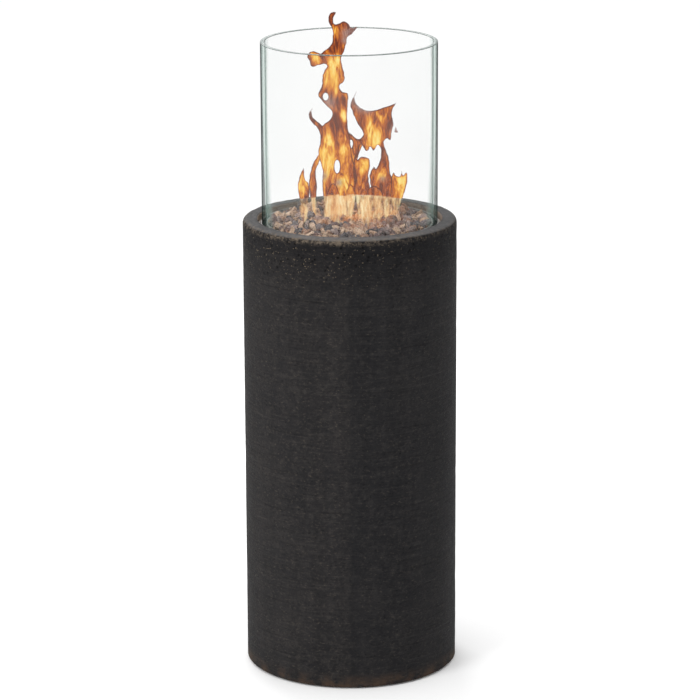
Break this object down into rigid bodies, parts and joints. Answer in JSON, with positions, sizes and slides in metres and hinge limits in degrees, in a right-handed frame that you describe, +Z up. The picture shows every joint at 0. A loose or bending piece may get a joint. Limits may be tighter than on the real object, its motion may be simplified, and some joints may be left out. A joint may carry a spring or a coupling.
{
  "type": "outdoor gas fire column",
  "caption": "Round concrete column that burns gas over lava rocks inside a glass wind guard, with a bay for a gas cylinder behind a door at the back.",
  "frame": {"origin": "on the floor under the middle of the column, at the bottom of the rubber feet", "axes": "+Z up; +Y towards the back, where the door and the controls are; +X to the right seen from the front"},
  "size_m": [0.4, 0.4, 1.193],
  "materials": {
    "concrete": "matte",
    "stainless": "satin",
    "painted_steel": "satin",
    "zinc": "satin",
    "brass": "satin",
    "copper": "satin",
    "aluminium": "satin",
    "black_plastic": "satin",
    "ceramic": "gloss",
    "rubber": "matte",
    "lava": "matte",
    "glass": "polished"
  },
  "bodies": {
    "column": {"column_shell": "concrete", "burner_tray": "stainless", "ring_burner": "stainless", "probe_bracket": "stainless", "thermocouple": "stainless", "electrode": "stainless", "control_panel": "stainless", "door_frame": "painted_steel", "hinge_1_frame_leaf": "painted_steel", "hinge_2_frame_leaf": "painted_steel", "floor_plate": "zinc", "floor_screw_1": "zinc", "floor_screw_2": "zinc", "floor_screw_3": "zinc", "tank_ring": "zinc", "hinge_1_pin": "zinc", "hinge_2_pin": "zinc", "burner_lock_nut": "zinc", "heat_shield": "zinc", "shield_spacer_1": "zinc", "shield_spacer_2": "zinc", "shield_spacer_3": "zinc", "shield_screw_1": "zinc", "shield_screw_2": "zinc", "shield_screw_3": "zinc", "panel_screw_1": "zinc", "panel_screw_2": "zinc", "igniter_battery": "zinc", "air_mixer": "brass", "injector": "brass", "valve_body": "brass", "tube_nut_valve": "brass", "tube_nut_injector": "brass", "gas_inlet": "brass", "thermocouple_lead": "copper", "supply_tube": "aluminium", "catch_magnet": "black_plastic", "knob_bezel": "black_plastic", "igniter_housing": "black_plastic", "igniter_nut": "black_plastic", "electrode_insulator": "ceramic", "foot_1": "rubber", "foot_2": "rubber", "foot_3": "rubber", "foot_4": "rubber", "ignition_wire": "rubber", "lava_rocks": "lava"},
    "glass": {"glass_cylinder": "glass", "glass_gasket": "rubber"},
    "door": {"door_panel": "painted_steel", "door_knob": "painted_steel", "catch_strike": "zinc", "hinge_1_door_leaf": "painted_steel", "hinge_2_door_leaf": "painted_steel"},
    "valve_slider": {"valve_plunger": "brass"},
    "knob": {"valve_stem": "brass", "control_knob": "black_plastic"},
    "button": {"igniter_button": "black_plastic"},
    "clamp_foot": {"clamp_pad": "rubber"},
    "clamp_handle": {"clamp_screw": "zinc"}
  },
  "joints": [
    {"name": "glass_lift", "type": "slide", "parent": "column", "child": "glass", "axis": [0, 0, 1], "range_m": [0, 0.15]},
    {"name": "door_hinge", "type": "hinge", "parent": "column", "child": "door", "pos_m": [-0.16379, 0.12303, 0.32], "axis": [0, 0, 1], "range_deg": [0, 110]},
    {"name": "valve_push", "type": "slide", "parent": "column", "child": "valve_slider", "axis": [0, -1, 0], "range_m": [0, 0.004], "stiffness_N_per_m": 2000},
    {"name": "knob_turn", "type": "hinge", "parent": "valve_slider", "child": "knob", "pos_m": [-0.032, 0.1758, 0.67], "axis": [0, 1, 0], "range_deg": [0, 210]},
    {"name": "igniter_push", "type": "slide", "parent": "column", "child": "button", "axis": [0, -1, 0], "range_m": [0, 0.003], "stiffness_N_per_m": 1500},
    {"name": "clamp_advance", "type": "slide", "parent": "column", "child": "clamp_foot", "axis": [0, -1, 0], "range_m": [0, 0.006]},
    {"name": "clamp_turn", "type": "hinge", "parent": "clamp_foot", "child": "clamp_handle", "pos_m": [0, 0.13, 0.0426], "axis": [0, -1, 0], "range_deg": [0, 1080]}
  ],
  "couplings": [
    {"joint": "clamp_turn", "follows": "clamp_advance", "rad_per_m": 3141.6}
  ]
}
